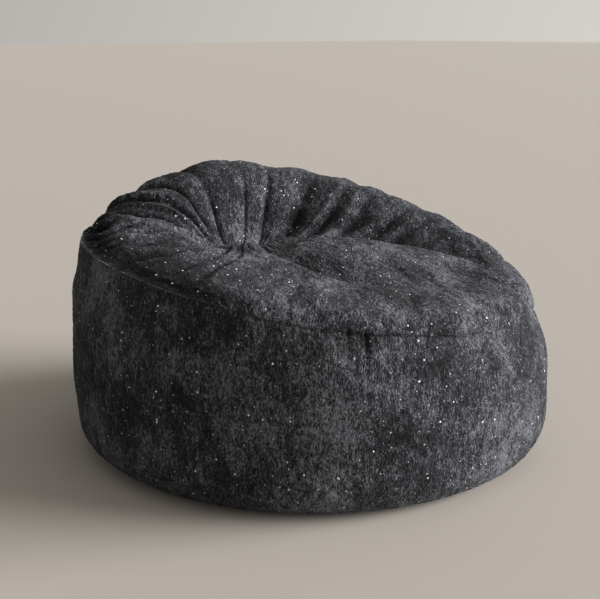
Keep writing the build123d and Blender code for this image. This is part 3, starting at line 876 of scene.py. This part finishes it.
finish_nodes(liner_zip_teeth, *(f"liner_zip_{part}" for part in chain))
finish_nodes(slider_metal, "liner_zip_slider")

# Foam fill: loose shredded cream foam that takes the liner's form, made as one lump of small shreds.
# A hollow under it clears the liner's zipper.
FOAM_DEPTH = 0.0180
FOAM_SMOOTHING = 12
FOAM_BASE_FORM = (0.0075, 0.0260, 0.076)
SHRED_SIZE = 0.016
SHRED_HEIGHT = 0.0012
SHRED_CELLS = 62.0
FOAM_PALE = (0.86, 0.82, 0.68, 1)
FOAM_DEEP = (0.66, 0.60, 0.44, 1)
FOAM_CUTS = 4

foam, shade = new_finish("foam", Roughness=0.9, Specular_IOR_Level=0.2)
place = object_place(shade)
shreds = shade.node("TexVoronoi", {"feature": "F1"}, {"Vector": place, "Scale": SHRED_CELLS})
pores = cloud(shade, place, 900, 2)
paint(
    foam,
    Base_Color=(0.7 * shreds + 0.3 * pores).rise(0.1, 0.8).mix(FOAM_PALE, FOAM_DEEP),
    Normal=bump(shade, shreds - 0.3 * pores, 0.004),
)
bm = skin_panel(0, LAST_RING, FOAM_DEPTH, FOAM_SMOOTHING)
close_pit(bm)
bm.normal_update()
for vert in bm.verts:
    if not vert.is_boundary:
        vert.co -= vert.normal * SHRED_HEIGHT * (1 + noise.noise(vert.co / SHRED_SIZE))
bottom = bmesh.ops.holes_fill(bm, edges=[edge for edge in bm.edges if edge.is_boundary])["faces"]
for step in range(-FOAM_CUTS, FOAM_CUTS + 1):
    geometry = bottom + list({edge for face in bottom for edge in face.edges})
    line = (0, step * GRID_STEP, 0)
    cut = bmesh.ops.bisect_plane(bm, geom=geometry, plane_co=line, plane_no=(0, 1, 0))["geom"]
    bottom = [item for item in cut if isinstance(item, bmesh.types.BMFace)]
for vert in {vert for face in bottom for vert in face.verts}:
    vert.co.z = base_height(vert.co.y, *FOAM_BASE_FORM)
bmesh.ops.recalc_face_normals(bm, faces=bm.faces)
foam_lump = add_piece("foam_lump", bm, "bag", foam)
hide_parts("foam_fill")

# Floor: one wide flat sheet of plain pale board that the bag stands on.
# It goes far enough for its edge to lie at the horizon.
FLOOR_HALF = 60
FLOOR_COLOUR = (0.445, 0.41, 0.374, 1)

floor_mesh = bpy.data.meshes.new("floor")
bm = bmesh.new()
bmesh.ops.create_grid(bm, x_segments=1, y_segments=1, size=FLOOR_HALF)
bm.to_mesh(floor_mesh)
bm.free()
pale_floor = new_finish("pale_floor", Base_Color=FLOOR_COLOUR, Roughness=0.9)[0]
floor_mesh.materials.append(pale_floor)
floor = bpy.data.objects.new("floor", floor_mesh)
bpy.context.collection.objects.link(floor)

# Light: one broad soft lamp, low on the right of the view, and a pale sky.
# The sky is brighter on that side and lower down. The lamp is far away, so that the floor is evenly lit.
VIEW_AZIMUTH, VIEW_ELEVATION = radians(-40), radians(15)
SKY_COLOUR = (1.0, 0.955, 0.90, 1)
SKY_STRENGTH = (0.24, 0.90)
SKY_FALL = 0.5
LAMP_COLOUR = (1, 0.985, 0.97)
LAMP_STRENGTH = 9.9
LAMP_SPREAD = radians(40)
LAMP_WAY = (2.2, 0.1, 0.41)

view_right = Vector((cos(VIEW_AZIMUTH), sin(VIEW_AZIMUTH), 0))
view_away = Vector((-sin(VIEW_AZIMUTH), cos(VIEW_AZIMUTH), 0))
world = bpy.data.worlds.new("studio")
bpy.context.scene.world = world
world.use_nodes = True
sky = Shade(world)
way = sky.node("TexCoord", {}, {}, output=0)
bright_way = view_right - Vector((0, 0, SKY_FALL))
towards = sky.node("VectorMath", {"operation": "DOT_PRODUCT"}, {0: way, 1: bright_way}, output=1)
least, most = SKY_STRENGTH
strength = sky.node("MapRange", {}, {"Value": towards, "From Min": -1.0, "To Min": least, "To Max": most})
background = world.node_tree.nodes["Background"]
background.inputs["Color"].default_value = SKY_COLOUR
world.node_tree.links.new(strength.socket, background.inputs["Strength"])

lamp_data = bpy.data.lights.new("key", "SUN")
lamp_data.energy = LAMP_STRENGTH
lamp_data.angle = LAMP_SPREAD
lamp_data.color = LAMP_COLOUR
lamp = bpy.data.objects.new("key", lamp_data)
bpy.context.collection.objects.link(lamp)
right, away, up = LAMP_WAY
shine = -(view_right * right + view_away * away + Vector((0, 0, up)))
lamp.rotation_euler = shine.to_track_quat("-Z", "Y").to_euler()

# Camera: at the photograph's angle, with a lens worked out from the size of the frame in pixels.
# It is aimed so that the middle of the bag lies at its place in the frame.
TARGET = Vector((0, 0, 0.25))
TARGET_PX = (314, 312)
FRAME_PX = (600, 599)
FOCAL_PX = 1056
DISTANCE = 2.2
SENSOR_MM = 36

view_back = Vector((0, 0, sin(VIEW_ELEVATION))) - view_away * cos(VIEW_ELEVATION)
view_up = view_back.cross(view_right)
off_right = (TARGET_PX[0] - FRAME_PX[0] / 2) / FOCAL_PX * DISTANCE
off_down = (TARGET_PX[1] - FRAME_PX[1] / 2) / FOCAL_PX * DISTANCE
aim = TARGET - view_right * off_right + view_up * off_down
camera_data = bpy.data.cameras.new("camera")
camera_data.sensor_width = SENSOR_MM
camera_data.lens = FOCAL_PX / FRAME_PX[0] * SENSOR_MM
camera = bpy.data.objects.new("camera", camera_data)
bpy.context.collection.objects.link(camera)
camera.location = TARGET + view_back * DISTANCE
camera.rotation_euler = (aim - camera.location).to_track_quat("-Z", "Y").to_euler()
bpy.context.scene.camera = camera
bpy.context.scene.view_settings.view_transform = "Standard"
